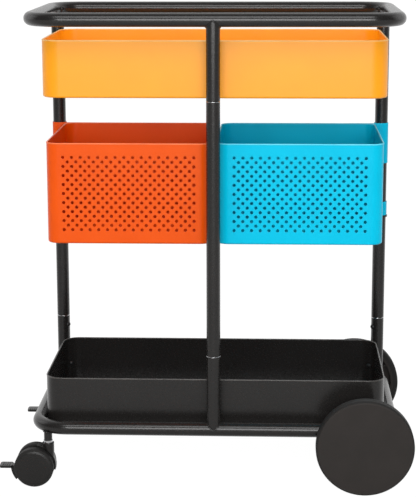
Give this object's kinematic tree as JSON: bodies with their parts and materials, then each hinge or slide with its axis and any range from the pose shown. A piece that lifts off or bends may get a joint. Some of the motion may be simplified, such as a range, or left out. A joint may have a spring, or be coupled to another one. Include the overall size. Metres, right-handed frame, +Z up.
{
  "type": "utility cart",
  "caption": "Rolling utility cart: bent tube frame with two shallow trays, swing-out perforated baskets, disc wheels at one end and braked swivel casters at the other.",
  "frame": {"origin": "on the floor, under the centre of the cart's bounding box", "axes": "+Z up, +X from the swivel casters towards the fixed wheels, -Y the front with the single centre post"},
  "size_m": [0.6736, 0.398, 0.767],
  "materials": {
    "frame_paint": "satin powder coat",
    "yellow_paint": "satin powder coat",
    "orange_paint": "satin powder coat",
    "cyan_paint": "satin powder coat",
    "zinc_steel": "zinc plated",
    "black_screws": "black oxide",
    "chrome_stem": "polished",
    "nylon": "moulded",
    "wheel_plastic": "fine moulded grain",
    "caster_plastic": "moulded",
    "tyre_rubber": "matte rubber"
  },
  "bodies": {
    "cart_frame": {"top_loop": "frame_paint", "bottom_loop": "frame_paint", "front_post": "frame_paint", "left_post": "frame_paint", "right_post": "frame_paint", "joint_plugs": "zinc_steel", "joint_bolts": "black_screws", "post_collars": "frame_paint", "top_tray": "yellow_paint", "bottom_tray": "frame_paint", "tray_spacers": "zinc_steel", "tray_screws": "black_screws", "axle_tube": "frame_paint", "axle_bushes": "nylon", "wheel_axle": "zinc_steel", "axle_clips": "zinc_steel", "front_caster_stem": "chrome_stem", "rear_caster_stem": "chrome_stem"},
    "left_basket_unit": {"left_basket": "orange_paint", "left_basket_sleeves": "orange_paint"},
    "right_basket_unit": {"right_basket": "cyan_paint", "right_basket_sleeves": "cyan_paint"},
    "front_wheel": {"front_wheel_core": "wheel_plastic", "front_wheel_tyre": "tyre_rubber", "front_wheel_cover": "wheel_plastic"},
    "rear_wheel": {"rear_wheel_core": "wheel_plastic", "rear_wheel_tyre": "tyre_rubber", "rear_wheel_cover": "wheel_plastic"},
    "front_caster_body": {"front_caster_hood": "caster_plastic", "front_caster_axle": "zinc_steel", "front_caster_pedal_pin": "zinc_steel"},
    "front_caster_outer": {"front_caster_outer_wheel": "caster_plastic", "front_caster_outer_tyre": "tyre_rubber"},
    "front_caster_inner": {"front_caster_inner_wheel": "caster_plastic", "front_caster_inner_tyre": "tyre_rubber"},
    "front_caster_brake": {"front_caster_pedal": "caster_plastic"},
    "rear_caster_body": {"rear_caster_hood": "caster_plastic", "rear_caster_axle": "zinc_steel", "rear_caster_pedal_pin": "zinc_steel"},
    "rear_caster_outer": {"rear_caster_outer_wheel": "caster_plastic", "rear_caster_outer_tyre": "tyre_rubber"},
    "rear_caster_inner": {"rear_caster_inner_wheel": "caster_plastic", "rear_caster_inner_tyre": "tyre_rubber"},
    "rear_caster_brake": {"rear_caster_pedal": "caster_plastic"}
  },
  "joints": [
    {"name": "left_basket_swing", "type": "hinge", "parent": "cart_frame", "child": "left_basket_unit", "pos_m": [-0.26661, 0.14123, 0.3975], "axis": [0, 0, -1], "range_deg": [0, 180]},
    {"name": "right_basket_swing", "type": "hinge", "parent": "cart_frame", "child": "right_basket_unit", "pos_m": [0.29525, 0.14123, 0.3975], "axis": [0, 0, 1], "range_deg": [0, 180]},
    {"name": "front_wheel_spin", "type": "hinge", "parent": "cart_frame", "child": "front_wheel", "pos_m": [0.25782, -0.188, 0.079], "axis": [0, 1, 0], "continuous": true},
    {"name": "rear_wheel_spin", "type": "hinge", "parent": "cart_frame", "child": "rear_wheel", "pos_m": [0.25782, 0.188, 0.079], "axis": [0, 1, 0], "continuous": true},
    {"name": "front_caster_swivel", "type": "hinge", "parent": "cart_frame", "child": "front_caster_body", "pos_m": [-0.25682, -0.1523, 0.06], "axis": [0, 0, 1], "continuous": true},
    {"name": "front_caster_outer_spin", "type": "hinge", "parent": "front_caster_body", "child": "front_caster_outer", "pos_m": [-0.27882, -0.1523, 0.032], "axis": [0, 1, 0], "continuous": true},
    {"name": "front_caster_inner_spin", "type": "hinge", "parent": "front_caster_body", "child": "front_caster_inner", "pos_m": [-0.27882, -0.1523, 0.032], "axis": [0, 1, 0], "continuous": true},
    {"name": "front_brake_press", "type": "hinge", "parent": "front_caster_body", "child": "front_caster_brake", "pos_m": [-0.29582, -0.1523, 0.023], "axis": [0, -1, 0], "range_deg": [0, 15]},
    {"name": "rear_caster_swivel", "type": "hinge", "parent": "cart_frame", "child": "rear_caster_body", "pos_m": [-0.25682, 0.1523, 0.06], "axis": [0, 0, 1], "continuous": true},
    {"name": "rear_caster_outer_spin", "type": "hinge", "parent": "rear_caster_body", "child": "rear_caster_outer", "pos_m": [-0.27882, 0.1523, 0.032], "axis": [0, 1, 0], "continuous": true},
    {"name": "rear_caster_inner_spin", "type": "hinge", "parent": "rear_caster_body", "child": "rear_caster_inner", "pos_m": [-0.27882, 0.1523, 0.032], "axis": [0, 1, 0], "continuous": true},
    {"name": "rear_brake_press", "type": "hinge", "parent": "rear_caster_body", "child": "rear_caster_brake", "pos_m": [-0.29582, 0.1523, 0.023], "axis": [0, -1, 0], "range_deg": [0, 15]}
  ]
}
